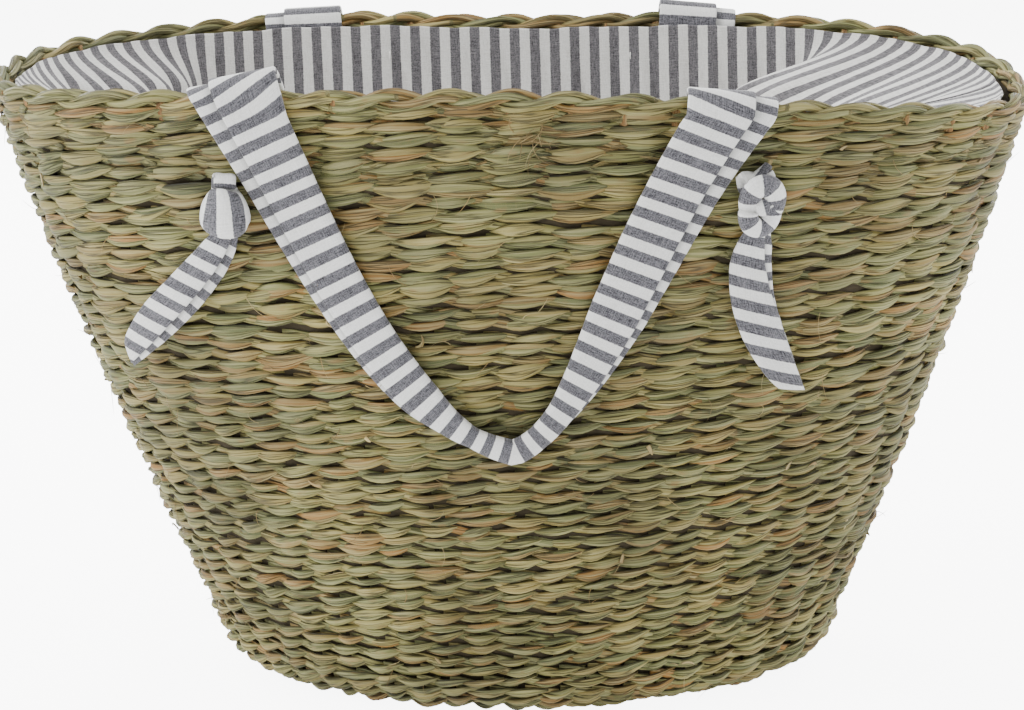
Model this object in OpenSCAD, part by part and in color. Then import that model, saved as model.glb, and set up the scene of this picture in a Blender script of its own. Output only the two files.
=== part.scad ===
// Oval storage basket of twined seagrass with a striped cloth lining. Each of its two
// cloth handles is a strap that is knotted outside the wall, passes in through a slot,
// runs up between wall and lining and hangs over the rim as a loop.
// Millimetres. The origin is the middle of the underside, +Z is up, the front faces -Y.

/* [Basket] */
// Width across the rim, outside
rim_w = 508; // [480:4:540]
// Depth across the rim, outside
rim_d = 250; // [236:2:270]
// Height of the rim at the middle of the front
height = 316; // [300:2:340]
// Width across the base before its edge is rounded
base_w = 300; // [280:4:330]
// Depth across the base before its edge is rounded
base_d = 180; // [170:2:200]
// Outward bulge of the sides, 0 for straight sides
belly = 0.27; // [0:0.01:0.4]
// How square the rim's outline is, 2 for an ellipse
rim_squareness = 2.6; // [2.2:0.1:3]
// How square the base's outline is, 2 for an ellipse
base_squareness = 1.9; // [1.8:0.1:2.6]
// Radius of the bottom edge
base_round = 20; // [18:1:28]
// How far the base stands to the right of the rim's middle
base_shift = 6.5; // [0:0.5:10]
// How far the rim dips at its left end
droop_left = 7; // [0:1:12]
// How far the rim dips at its right end
droop_right = 15; // [0:1:20]
// How far the right end is twisted, front edge down and back edge up
rim_twist = 10; // [0:1:12]

/* [Weave] */
// Thickness of the twined wall
wall_t = 9; // [8:0.5:10]
// Thickness of the braided border
border_t = 10; // [9:0.5:11]
// Height of the braided border
border_h = 12; // [10:1:14]
// Number of upright stakes
stakes = 48; // [36:4:60]
// Diameter of a stake
stake_d = 4.4; // [3:0.2:5]
// Length of stake that shows between the wall and the border
stake_gap = 2.5; // [2:0.5:4]

/* [Lining] */
// Thickness of the lining cloth
lining_t = 1.5; // [1:0.5:2]
// Room between wall and lining for the straps
lining_gap = 4.4; // [4:0.2:6]
// Depth of the lining's top edge below the rim
lining_drop = 7; // [6:1:25]
// Width of the lining's hem
hem_w = 12; // [8:1:20]

/* [Handles] */
// Width of a strap where it crosses the rim
strap_w = 40; // [34:1:42]
// Thickness of a folded strap
strap_t = 3; // [2.4:0.2:3]
// Width of a handle at its lowest point, where it is bunched
grip_w = 15; // [12:1:22]
// Thickness of a handle at its lowest point
grip_t = 8; // [5:1:10]
// Depth of the handles' lowest point below the rim
handle_drop = 170; // [150:5:190]
// Depth of the slots and knots below the rim
knot_drop = 53; // [50:1:56]

/* [Hidden] */

seagrass = [0.60, 0.55, 0.40];
seagrass_dark = [0.50, 0.46, 0.32];
stake_brown = [0.62, 0.42, 0.24];
cloth_white = [0.86, 0.85, 0.83];
cloth_blue = [0.36, 0.39, 0.48];

front = -1;
back = 1;
rim_a = rim_w / 2;
rim_b = rim_d / 2;
around = 56;                                  // facets round the basket
arc_steps = 4;                                // facets over the rounded bottom edge
wall_steps = 7;                               // facets up the wall
across = [-1, -0.4, 0.4, 1];                  // points across a strap
air = 0.4;                                    // gap between pieces that only touch

border_z = height - border_h / 2;
border_inset = wall_t / 2;
wall_top = height - border_h - stake_gap;
lining_top = height - lining_drop;
lining_inset = wall_t + lining_gap;
strap_inset = wall_t + (lining_gap + strap_t) / 2;
fold_r = 9.2;                                 // hinge line to the inner face of a strap
knot_z = height - knot_drop;
grip_z = height - handle_drop;
slot = [22, 3 * wall_t, 6];                   // hole through which a strap passes
neck = [20, wall_t + 6, 4.5];                 // bunched strap in the slot
knot_r = 7.5;
knot_size = [22, 30];

// A strap end is [side, x at the rim, x of the knot, how straight down its leg starts,
// how far out its leg stays]
front_left = [front, -119, -129, 0.72, 1.42];
front_right = [front, 98, 112, 0.56, 1.02];
back_left = [back, -109, -121, 0.62, 1.02];
back_right = [back, 100, 114, 0.58, 1.02];

// Where the hem is tacked to the wall, in degrees round the basket, clear of the straps
tack_angles = [0, 26, 47, 79, 101, 133, 154, 180, 206, 227, 259, 281, 313, 334];

// Routes of the tails: [x, depth below the knot, distance off the wall, width]
tail_left = [[-3, 18, 2, 12], [-10, 28, 2.5, 16], [-22, 42, 4, 21],
    [-36, 57, 6, 21], [-48, 70, 8, 15], [-53, 76, 9, 9]];
tail_right = [[0, 18, 2, 12], [-3, 30, 2.5, 17], [-2, 46, 3, 20],
    [3, 62, 3.5, 20], [10, 77, 4, 19], [17, 91, 5, 15]];

// Shape of the basket. A level is 0 at the base and 1 at the rim.
function flare(v) = v + belly * v * (1 - v);
function half_w(v) = base_w / 2 + (rim_w - base_w) / 2 * flare(v);
function half_d(v) = base_d / 2 + (rim_d - base_d) / 2 * flare(v);
function squareness(v) = base_squareness + (rim_squareness - base_squareness) * v;
function shift(v) = base_shift * (1 - v);
function signed_power(a, p) = sign(a) * pow(abs(a), p);

// How far a point of the basket lies below its level
function dip(x, y, v) = v * v
    * ((x > 0 ? droop_right : droop_left) * pow(abs(x) / rim_a, 2.5)
        - rim_twist * max(x, 0) / rim_a * y / rim_b);

function ring_point(z, inset, angle) = let (
        v = z / height,
        p = 2 / squareness(v),
        x = shift(v) + (half_w(v) - inset) * signed_power(cos(angle), p),
        y = (half_d(v) - inset) * signed_power(sin(angle), p))
    [x, y, z - dip(x, y, v)];

// Distance from the XZ plane to the wall's outside, less the inset, at x and z
function reach(x, v, inset) = let (
        n = squareness(v),
        u = abs(x - shift(v)) / (half_w(v) - inset))
    (half_d(v) - inset) * pow(1 - pow(u, n), 1 / n);
function level(x, z, side) = let (v = z / height)
    v + dip(x, side * reach(x, v, 0), v) / height;
function on_wall(side, x, z, off) = [x, side * reach(x, level(x, z, side), -off), z];

// Height profile of a shell: [z, inset] from the base's edge up to top
function profile(side_inset, floor_z, top) = concat(
    [for (i = [0 : arc_steps]) let (a = 90 * i / arc_steps)
        [base_round - (base_round - floor_z) * cos(a),
            base_round - (base_round - side_inset) * sin(a)]],
    [for (i = [1 : wall_steps])
        [base_round + (top - base_round) * i / wall_steps, side_inset]]);
function reversed(list) = [for (i = [len(list) - 1 : -1 : 0]) list[i]];

// Skin over rows of points. Each row is a closed loop. The rows close up into a ring
// when ring is true, and are capped at both ends when it is false.
module skin(rows, ring = false) {
    n = len(rows[0]);
    m = len(rows);
    sides = [for (i = [0 : m - (ring ? 1 : 2)], j = [0 : n - 1]) let (
            k = (i + 1) % m, l = (j + 1) % n)
        each [[i * n + j, k * n + j, k * n + l], [i * n + j, k * n + l, i * n + l]]];
    caps = ring ? [] : [[for (j = [0 : n - 1]) j], [for (j = [n - 1 : -1 : 0]) (m - 1) * n + j]];
    polyhedron([for (row = rows) each row], concat(sides, caps), convexity = 6);
}

// Shell that follows the basket all round, between two profiles
module shell_between(outer, inner) {
    section = concat(outer, reversed(inner));
    skin([for (i = [0 : around - 1])
        [for (p = section) ring_point(p[0], p[1], 360 * i / around)]], ring = true);
}

module outline(z, inset) {
    polygon([for (i = [0 : around - 1]) let (p = ring_point(z, inset, 360 * i / around))
        [p[0], p[1]]]);
}

module base_mat() {
    color(seagrass) linear_extrude(wall_t) outline(0, base_round + 0.1);
}

module wall_weave() {
    color(seagrass) difference() {
        shell_between(profile(0, 0, wall_top), profile(wall_t, wall_t, wall_top));
        for (end = [front_left, front_right, back_left, back_right])
            translate(on_wall(end[0], end[2], knot_z, -wall_t / 2)) cube(slot, center = true);
    }
}

module stake_tops() {
    for (i = [0 : stakes - 1])
        translate(ring_point(wall_top + air, border_inset, 360 * (i + 0.5) / stakes))
            color(stake_brown) cylinder(h = stake_gap - 2 * air, d = stake_d, $fn = 24);
}

module rim_border() {
    color(seagrass_dark) skin([for (i = [0 : around - 1])
        [for (a = [0 : 45 : 315])
            ring_point(border_z - border_h / 2 * sin(a), border_inset + border_t / 2 * cos(a),
                360 * i / around)]], ring = true);
}

module lining_base() {
    color(cloth_white) translate([0, 0, wall_t + air])
        linear_extrude(lining_t) outline(0, base_round + 0.1);
}

module lining_wall() {
    floor_z = wall_t + air;
    color(cloth_blue) shell_between(
        profile(lining_inset, floor_z, lining_top - hem_w),
        profile(lining_inset + lining_t, floor_z + lining_t, lining_top - hem_w));
}

module lining_hem() {
    low = lining_top - hem_w + 0.1;
    deep = lining_inset + 2 * lining_t;
    section = [[low, lining_inset], [lining_top, lining_inset], [lining_top, deep], [low, deep]];
    color(cloth_white) skin([for (i = [0 : around - 1])
        [for (p = section) ring_point(p[0], p[1], 360 * i / around)]], ring = true);
}

module lining_tacks() {
    for (angle = tack_angles) {
        p = ring_point(lining_top - 0.8 * hem_w, lining_inset - 0.5, angle);
        color(cloth_white) translate(p)
            rotate([0, 90, atan2(p[1] / (rim_b * rim_b), p[0] / (rim_a * rim_a))])
                cylinder(h = lining_gap - 1.2, d = 1.6, $fn = 16);
    }
}

// Middle of the border where a strap crosses it
function rim_middle(end) = let (v = border_z / height, x = end[1],
        y = reach(x, v, border_inset))
    [x, y, border_z - dip(x, end[0] * y, v)];

// Distance from the XZ plane, and height, of a handle's hinge line at x
function hinge_at(ends, x) = let (
        a = rim_middle(ends[0]),
        b = rim_middle(ends[1]),
        f = (x - a[0]) / (b[0] - a[0]))
    [a[1] + (b[1] - a[1]) * f, a[2] + (b[2] - a[2]) * f];

// Strap between rows of points on its wall side and rows on its free side
module strap(near, far) {
    skin([for (i = [0 : len(near) - 1]) concat(near[i], reversed(far[i]))]);
}

// Strap between wall and lining, from the slot up to the rim
module strap_inside(ends, end) {
    side = end[0];
    low = knot_z + neck[2] / 2 + air;
    high = hinge_at(ends, end[1])[1] - 0.5;
    steps = 5;
    rows = [for (i = [0 : steps]) let (f = i / steps)
        [end[2] + (end[1] - end[2]) * f, low + (high - low) * f,
            (neck[0] + (strap_w - neck[0]) * pow(f, 0.6)) / 2]];
    color(cloth_white) strap(
        [for (r = rows) [for (u = across) on_wall(side, r[0] + side * u * r[2], r[1],
            -strap_inset)]],
        [for (r = rows) [for (u = across) on_wall(side, r[0] + side * u * r[2], r[1],
            strap_t - strap_inset)]]);
}

// Strap over the rim, a half turn from the inside strap's top to the handle's top
module strap_fold(ends, end) {
    side = end[0];
    v = border_z / height;
    function arch(x, phi, off) = let (
            h = hinge_at(ends, x),
            crest = border_z - dip(x, side * reach(x, v, border_inset), v),
            inner = reach(x, v, strap_inset - strap_t + off),
            outer = h[0] + fold_r + off)
        [x, side * ((inner + outer) / 2 - (outer - inner) / 2 * cos(phi)),
            h[1] + (crest - h[1] + border_h / 2 + air + off) * sin(phi)];
    turns = [0 : 22.5 : 180];
    xs = [for (u = across) end[1] + side * u * strap_w / 2];
    color(cloth_white) strap(
        [for (phi = turns) [for (x = xs) arch(x, phi, strap_t)]],
        [for (phi = turns) [for (x = xs) arch(x, phi, 0)]]);
}

// Route of a handle's leg in the XZ plane, from the rim (t = 0) to the lowest point (t = 1)
function leg_point(top, end, t) = let (
        s = 1 - t,
        low_z = grip_z - top[1])
    [top[0] * (s * s * s + 3 * end[3] * s * s * t + end[4] * s * t * t),
        top[1] + low_z * (1.17 * s * s * t + 2.78 * s * t * t + t * t * t)];
function smooth(t) = let (c = min(max(t, 0), 1)) c * c * (3 - 2 * c);
function unit(v) = v / norm(v);

// Station of a leg: [middle, direction across, half width, thickness]
function leg_station(ends, end, t) = let (
        side = end[0],
        top = [end[1], hinge_at(ends, end[1])[1] - 0.5],
        along = unit(leg_point(top, end, t + 0.01) - leg_point(top, end, t - 0.01)),
        square = [-along[1], along[0]],
        f = smooth(4 * t),
        dir = unit([1 - f, 0] + square * f),
        w = (strap_w * 0.86 + (grip_w - strap_w * 0.86) * t) / 2)
    [leg_point(top, end, t), dir, w / (dir * square), strap_t + (grip_t - strap_t) * pow(t, 3)];

// Point of a handle at x and z: near the hinge it stands off at fold_r, lower it lies
// on the wall
function handle_point(ends, x, z, off) = let (
        side = ends[0][0],
        h = hinge_at(ends, x),
        f = smooth((h[1] - z) / 45),
        lie = reach(x, level(x, z, side), 0) + 1)
    [x, side * ((h[0] + fold_r) * (1 - f) + lie * f + off), z];

module handle(ends) {
    steps = 10;
    down = [for (i = [0 : steps]) leg_station(ends, ends[0], i / steps)];
    up = [for (i = [steps - 1 : -1 : 0]) let (s = leg_station(ends, ends[1], i / steps))
        [s[0], -s[1], s[2], s[3]]];
    rows = [for (s = concat(down, up))
        [for (u = across) [s[0] + s[1] * s[2] * u, s[3] * (abs(u) == 1 ? 0.5 : 1)]]];
    near = [for (r = rows) [for (p = r) handle_point(ends, p[0][0], p[0][1], 0)]];
    far = [for (r = rows) [for (p = r) handle_point(ends, p[0][0], p[0][1], p[1])]];
    color(cloth_white)
        if (ends[0][0] == front) strap(far, near);
        else strap(near, far);
}

// Knot on the outside of the wall, with the bunched strap that passes through the slot
module knot(end) {
    side = end[0];
    w = knot_size[0] / 2 - knot_r;
    h = knot_size[1] / 2 - knot_r;
    color(cloth_blue) {
        hull() for (i = [-1, 1], j = [-1, 1])
            translate(on_wall(side, end[2] + i * w, knot_z + j * h, knot_r + 1))
                sphere(knot_r, $fn = 16);
        translate(on_wall(side, end[2], knot_z, 4 - neck[1] / 2)) cube(neck, center = true);
    }
}

// Loose end of a strap below its knot
module tail(end, route) {
    side = end[0];
    n = len(route);
    mid = [for (r = route) [end[2] + r[0], knot_z - r[1]]];
    dirs = [for (i = [0 : n - 1]) let (d = unit(mid[min(i + 1, n - 1)] - mid[max(i - 1, 0)]))
        [-d[1], d[0]] * side];
    near = [for (i = [0 : n - 1]) [for (u = across) let (p = mid[i] + dirs[i] * route[i][3] / 2 * u)
        on_wall(side, p[0], p[1], route[i][2])]];
    far = [for (i = [0 : n - 1]) [for (u = across) let (p = mid[i] + dirs[i] * route[i][3] / 2 * u)
        on_wall(side, p[0], p[1], route[i][2] + strap_t)]];
    color(cloth_blue) strap(near, far);
}

front_ends = [front_left, front_right];
back_ends = [back_left, back_right];
module strap_inside_front_left() { strap_inside(front_ends, front_left); }
module strap_inside_front_right() { strap_inside(front_ends, front_right); }
module strap_inside_back_left() { strap_inside(back_ends, back_left); }
module strap_inside_back_right() { strap_inside(back_ends, back_right); }
module strap_fold_front_left() { strap_fold(front_ends, front_left); }
module strap_fold_front_right() { strap_fold(front_ends, front_right); }
module strap_fold_back_left() { strap_fold(back_ends, back_left); }
module strap_fold_back_right() { strap_fold(back_ends, back_right); }
module knot_front_left() { knot(front_left); }
module knot_front_right() { knot(front_right); }
module knot_back_left() { knot(back_left); }
module knot_back_right() { knot(back_right); }
module handle_front() { handle(front_ends); }
module handle_back() { handle(back_ends); }
module tail_front_left() { tail(front_left, tail_left); }
module tail_front_right() { tail(front_right, tail_right); }
module tail_back_left() { tail(back_left, tail_left); }
module tail_back_right() { tail(back_right, tail_right); }

base_mat();
wall_weave();
stake_tops();
rim_border();
lining_base();
lining_wall();
lining_hem();
lining_tacks();
strap_inside_front_left();
strap_inside_front_right();
strap_inside_back_left();
strap_inside_back_right();
strap_fold_front_left();
strap_fold_front_right();
strap_fold_back_left();
strap_fold_back_right();
knot_front_left();
knot_front_right();
knot_back_left();
knot_back_right();
handle_front();
handle_back();
tail_front_left();
tail_front_right();
tail_back_left();
tail_back_right();
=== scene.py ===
"""Seagrass storage basket with a striped cloth lining and two knotted cloth handles."""

from math import pi, radians

import bpy
import numpy as np
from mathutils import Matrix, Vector


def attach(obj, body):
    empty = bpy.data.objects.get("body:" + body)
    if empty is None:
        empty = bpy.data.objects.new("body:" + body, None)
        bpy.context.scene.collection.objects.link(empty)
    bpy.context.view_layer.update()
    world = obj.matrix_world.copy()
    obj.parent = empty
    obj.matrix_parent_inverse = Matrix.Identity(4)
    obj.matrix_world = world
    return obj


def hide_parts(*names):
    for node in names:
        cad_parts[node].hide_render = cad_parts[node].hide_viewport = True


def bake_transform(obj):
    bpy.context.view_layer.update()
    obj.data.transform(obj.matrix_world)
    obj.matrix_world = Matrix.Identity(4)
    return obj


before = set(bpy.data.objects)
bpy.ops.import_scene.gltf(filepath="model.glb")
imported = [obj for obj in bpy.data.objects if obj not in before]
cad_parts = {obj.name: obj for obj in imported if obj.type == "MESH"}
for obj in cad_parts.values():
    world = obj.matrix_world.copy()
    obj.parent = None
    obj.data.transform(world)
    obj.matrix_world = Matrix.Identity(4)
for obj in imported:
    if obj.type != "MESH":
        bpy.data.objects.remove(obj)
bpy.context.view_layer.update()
rng = np.random.default_rng(11)

# ---------------------------------------------------------------- shape of the basket
# Metres. The same outline as the CAD part: a level v is 0 at the base and 1 at the rim.
RIM_W, RIM_D, HEIGHT = 0.508, 0.250, 0.316
BASE_W, BASE_D, BASE_ROUND, BASE_SHIFT = 0.300, 0.180, 0.020, 0.0065
BELLY, RIM_SQUARE, BASE_SQUARE = 0.27, 2.6, 1.9
DROOP_LEFT, DROOP_RIGHT, RIM_TWIST, RISE_LEFT = 0.007, 0.015, 0.010, 0.0050
RIM_A, RIM_B = RIM_W / 2, RIM_D / 2
WALL_T, BORDER_H = 0.009, 0.012
BORDER_Z = HEIGHT - BORDER_H / 2
STAKES = 48
FIBRE_ROUND = 0.0017        # metres of the fibre attribute to a radian round a strand


def smooth(t):
    c = np.clip(t, 0, 1)
    return c * c * (3 - 2 * c)


def flare(v):
    return v + BELLY * v * (1 - v)


def half_w(v):
    return BASE_W / 2 + (RIM_W - BASE_W) / 2 * flare(v)


def half_d(v):
    return BASE_D / 2 + (RIM_D - BASE_D) / 2 * flare(v)


def squareness(v):
    return BASE_SQUARE + (RIM_SQUARE - BASE_SQUARE) * v


def dip(x, y, v):
    droop = np.where(x > 0, DROOP_RIGHT, DROOP_LEFT) * (np.abs(x) / RIM_A) ** 2.5
    rise = RISE_LEFT * smooth((0.060 - x) / 0.170) * (0.3 + 0.7 * np.maximum(y, 0) / RIM_B)
    return v * v * (droop - rise - RIM_TWIST * np.maximum(x, 0) / RIM_A * y / RIM_B)


def ring(z, inset, angle):
    v = z / HEIGHT
    p = 2 / squareness(v)
    c, s = np.cos(angle), np.sin(angle)
    x = BASE_SHIFT * (1 - v) + (half_w(v) - inset) * np.sign(c) * np.abs(c) ** p
    y = (half_d(v) - inset) * np.sign(s) * np.abs(s) ** p
    return np.stack([x, y, z - dip(x, y, v)], -1)


def reach(x, v, inset):
    n = squareness(v)
    u = np.clip(np.abs(x - BASE_SHIFT * (1 - v)) / (half_w(v) - inset), 0, 1)
    return (half_d(v) - inset) * (1 - u ** n) ** (1 / n)


def level(x, z, side):
    v = z / HEIGHT
    return v + dip(x, side * reach(x, v, 0), v) / HEIGHT


def on_wall(side, x, z, off):
    """Points of the plane x, z pushed onto the wall's front (-1) or back (1)."""
    x, z, off = np.broadcast_arrays(x, z, off)
    return np.stack([x, side * reach(x, level(x, z, side), -off), z], -1)


# The wall as a lookup: s is the share of the way round, h the way up the profile from the
# edge of the flat base (negative under the base), off the distance outwards.
ARC = pi / 2 * BASE_ROUND
H_MIN, H_STEP, H_COUNT, S_COUNT = -0.0699, 0.0025, 168, 1440


def build_wall():
    """A grid of points with their normals, and the length round each level."""
    grid = np.zeros((H_COUNT, S_COUNT, 3))
    length = np.zeros(H_COUNT)
    angles = np.linspace(0, 2 * pi, 2881)
    for j in range(H_COUNT):
        h = H_MIN + j * H_STEP
        turn = np.clip(h / BASE_ROUND, 0, pi / 2)
        z = BASE_ROUND * (1 - np.cos(turn)) + max(h - ARC, 0)
        inset = BASE_ROUND * (1 - np.sin(turn)) + max(-h, 0)
        outline = ring(z, inset, angles)
        steps = np.linalg.norm(np.diff(outline[:, :2], axis=0), axis=1)
        run = np.concatenate([[0], np.cumsum(steps)])
        length[j] = run[-1]
        at = np.interp(np.arange(S_COUNT) / S_COUNT * run[-1], run, angles)
        grid[j] = ring(z, inset, at)
    along = np.roll(grid, -1, 1) - np.roll(grid, 1, 1)
    up = np.gradient(grid, axis=0)
    normal = np.cross(along, up)
    normal /= np.linalg.norm(normal, axis=-1, keepdims=True) + 1e-12
    return np.concatenate([grid, normal], -1), length


WALL, GIRTH = build_wall()


def wall(s, h, off):
    """Points of the wall at (s, h, off)."""
    s, h, off = np.broadcast_arrays(s, h, off)
    fs = (s % 1.0) * S_COUNT
    i = np.floor(fs).astype(int)
    fs = (fs - i)[..., None]
    i0, i1 = i % S_COUNT, (i + 1) % S_COUNT
    fh = np.clip((h - H_MIN) / H_STEP, 0, H_COUNT - 1.001)
    j = np.floor(fh).astype(int)
    fh = (fh - j)[..., None]
    low = WALL[j, i0] * (1 - fs) + WALL[j, i1] * fs
    high = WALL[j + 1, i0] * (1 - fs) + WALL[j + 1, i1] * fs
    both = low * (1 - fh) + high * fh
    return both[..., :3] + both[..., 3:] * off[..., None]


def swell(h):
    """The outermost strands stand a little proud over the rounded bottom edge."""
    return 0.0022 * np.exp(-((h - 0.030) / 0.014) ** 2)


def girth(h):
    return np.interp(h, H_MIN + H_STEP * np.arange(H_COUNT), GIRTH)


H_RIM = ARC + HEIGHT - BASE_ROUND


def wave_noise(t, seed, octaves=3):
    """A smooth random function of t, about -1 to 1. t counts bumps."""
    r = np.random.default_rng(seed)
    total = 0
    for k in range(octaves):
        total = total + np.sin(t * r.uniform(0.7, 1.4) * 2.1 ** k * 2 + r.uniform(0, 6.3)) * 0.6 ** k
    return total / 1.6


# ---------------------------------------------------------------- meshes
def make_mesh(name, verts, quads, material, vectors):
    """A smooth mesh with the point attribute "fibre", which the materials read."""
    mesh = bpy.data.meshes.new(name)
    verts = np.asarray(verts, np.float32).reshape(-1, 3)
    quads = np.asarray(quads, np.int32).reshape(-1, 4)
    mesh.vertices.add(len(verts))
    mesh.vertices.foreach_set("co", verts.ravel())
    mesh.loops.add(quads.size)
    mesh.loops.foreach_set("vertex_index", quads.ravel())
    mesh.polygons.add(len(quads))
    mesh.polygons.foreach_set("loop_start", np.arange(0, quads.size, 4, dtype=np.int32))
    mesh.update(calc_edges=True)
    mesh.polygons.foreach_set("use_smooth", np.full(len(quads), True))
    layer = mesh.attributes.new("fibre", "FLOAT_VECTOR", "POINT")
    layer.data.foreach_set("vector", np.asarray(vectors, np.float32).reshape(-1))
    mesh.validate()
    mesh.materials.append(material)
    obj = bpy.data.objects.new(name, mesh)
    bpy.context.scene.collection.objects.link(obj)
    return obj


def tube_quads(count, rings, sides, closed=False, capped=True, flip=False):
    """Quads of `count` tubes whose points are numbered tube, ring, side."""
    r = np.arange(rings if closed else rings - 1)[:, None]
    k = np.arange(sides)[None, :]
    a = r * sides + k
    b = r * sides + (k + 1) % sides
    c = (r + 1) % rings * sides + (k + 1) % sides
    d = (r + 1) % rings * sides + k
    quads = np.stack([a, b, c, d], -1).reshape(-1, 4)
    if capped and not closed:
        cap = np.array([[i, i + 1, sides - i - 2, sides - i - 1] for i in range(sides // 2 - 1)])
        quads = np.concatenate([quads, cap[:, ::-1], cap + (rings - 1) * sides])
    if flip:
        quads = quads[:, ::-1]
    return (np.arange(count)[:, None, None] * rings * sides + quads).reshape(-1, 4)


def join_parts(parts):
    """Joins (points, quads, vectors) lists into one."""
    points, quads, vectors, base = [], [], [], 0
    for p, q, v in parts:
        p = np.asarray(p).reshape(-1, 3)
        points.append(p)
        quads.append(np.asarray(q).reshape(-1, 4) + base)
        vectors.append(np.asarray(v).reshape(-1, 3))
        base += len(p)
    return np.concatenate(points), np.concatenate(quads), np.concatenate(vectors)


def slab(points, cloth, thick):
    """A cloth of real thickness over a grid of points [a, b, 3]; cloth is [a, b, 3]."""
    da = np.gradient(points, axis=0)
    db = np.gradient(points, axis=1)
    n = np.cross(da, db)
    n /= np.linalg.norm(n, axis=-1, keepdims=True) + 1e-12
    rows, cols = points.shape[:2]
    both = np.concatenate([points + n * thick / 2, (points - n * thick / 2)[:, ::-1]], 1)
    vectors = np.concatenate([cloth, cloth[:, ::-1]], 1)
    return both, tube_quads(1, rows, 2 * cols)[:, ::-1], vectors


# ---------------------------------------------------------------- materials
class Graph:
    """Short hand for building a node tree."""

    def __init__(self, name):
        self.material = bpy.data.materials.new(name)
        self.material.use_nodes = True
        self.tree = self.material.node_tree
        self.shader = self.tree.nodes["Principled BSDF"]

    def put(self, socket, value):
        if isinstance(value, bpy.types.NodeSocket):
            self.tree.links.new(value, socket)
        else:
            socket.default_value = value

    def add(self, kind, output=0, settings=None, **inputs):
        node = self.tree.nodes.new(kind)
        for key, value in (settings or {}).items():
            setattr(node, key, value)
        for key, value in inputs.items():
            self.put(node.inputs[int(key[1:]) if key[0] == "_" else key], value)
        return node.outputs[output]

    def math(self, operation, a, b=0.0, c=0.0):
        return self.add("ShaderNodeMath", settings={"operation": operation}, _0=a, _1=b, _2=c)

    def span(self, value, low, high, to_low=0.0, to_high=1.0):
        return self.add("ShaderNodeMapRange", settings={"clamp": True}, Value=value,
                        **{"From Min": low, "From Max": high, "To Min": to_low, "To Max": to_high})

    def mix(self, factor, a, b, blend="MIX"):
        node = self.tree.nodes.new("ShaderNodeMix")
        node.data_type = "RGBA"
        node.blend_type = blend
        for index, value in ((0, factor), (6, a), (7, b)):
            self.put(node.inputs[index], value)
        return node.outputs[2]

    def fibre(self):
        vector = self.add("ShaderNodeAttribute", 1, {"attribute_name": "fibre"})
        parts = self.tree.nodes.new("ShaderNodeSeparateXYZ")
        self.tree.links.new(vector, parts.inputs[0])
        return parts.outputs

    def noise(self, x, y, z, detail=2.0, rough=0.55):
        vector = self.add("ShaderNodeCombineXYZ", X=x, Y=y, Z=z)
        return self.add("ShaderNodeTexNoise", Vector=vector, Scale=1.0, Detail=detail, Roughness=rough)

    def finish(self, color, roughness, height=None, distance=0.0003, strength=0.6):
        self.put(self.shader.inputs["Base Color"], color)
        self.put(self.shader.inputs["Roughness"], roughness)
        if height is not None:
            bump = self.add("ShaderNodeBump", Height=height, Strength=strength, Distance=distance)
            self.put(self.shader.inputs["Normal"], bump)
        return self.material


def rgb(r, g, b):
    """sRGB 0-255 to a linear colour."""
    c = np.array([r, g, b]) / 255
    c = np.where(c < 0.04045, c / 12.92, ((c + 0.055) / 1.055) ** 2.4)
    return (float(c[0]), float(c[1]), float(c[2]), 1.0)


def grass_material(name, colors, deep, rough=0.62, shade=1.0):
    """Dried grass. fibre holds: along the strand, round the strand, seed of the strand.
    shade is how far a strand darkens towards its sides: painted shade where it meets the strands next to it."""
    g = Graph(name)
    along, across, seed = g.fibre()
    shift = g.math("MULTIPLY", seed, 91.0)
    streak = g.noise(g.math("MULTIPLY", along, 45.0), g.math("MULTIPLY", across, 1150.0), shift, 3.0)
    blades = g.noise(g.math("MULTIPLY", along, 26.0), g.math("MULTIPLY", across, 520.0),
                     g.math("ADD", shift, 17.0), 1.0)
    blotch = g.noise(g.math("MULTIPLY", along, 130.0), g.math("MULTIPLY", across, 260.0),
                     g.math("ADD", shift, 43.0), 2.0)
    tone = g.add("ShaderNodeTexWhiteNoise", settings={"noise_dimensions": "1D"},
                 W=g.math("MULTIPLY", seed, 913.0))
    body = g.add("ShaderNodeValToRGB", Fac=tone)
    ramp = body.node.color_ramp
    while len(ramp.elements) < len(colors):
        ramp.elements.new(0.5)
    for element, (place, color) in zip(ramp.elements, colors):
        element.position = place
        element.color = rgb(*color)
    pale = g.mix(g.span(streak, 0.42, 0.72), body, rgb(208, 200, 148))
    color = g.mix(0.50, body, pale)
    patch = g.add("ShaderNodeTexNoise", Vector=g.add("ShaderNodeTexCoord", 3), Scale=17.0, Detail=3.0)
    color = g.mix(g.span(patch, 0.36, 0.62, 0.42, 0.0), color, rgb(58, 54, 30))
    ridge = g.span(g.math("ABSOLUTE", g.math("SUBTRACT", blades, 0.5)), 0.0, 0.045)
    color = g.mix(g.span(ridge, 0.0, 1.0, 0.75, 0.0), color, rgb(*deep))
    color = g.mix(g.span(blotch, 0.60, 0.75, 0.0, 0.45), color, rgb(146, 108, 58))
    # painted shade: each strand darkens towards its upper and lower sides, where it meets its neighbours
    painted_shade_mask = g.math("ABSOLUTE", g.math("COSINE", g.math("DIVIDE", across, FIBRE_ROUND)))
    color = g.mix(g.span(painted_shade_mask, 0.0, 0.62, 0.88 * shade, 0.0), color, rgb(26, 24, 12))
    height = g.math("ADD", g.math("MULTIPLY", streak, 0.6), g.math("MULTIPLY", ridge, 0.8))
    return g.finish(color, g.span(streak, 0.3, 0.7, rough - 0.1, rough + 0.06), height, 0.0009, 0.9)


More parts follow.
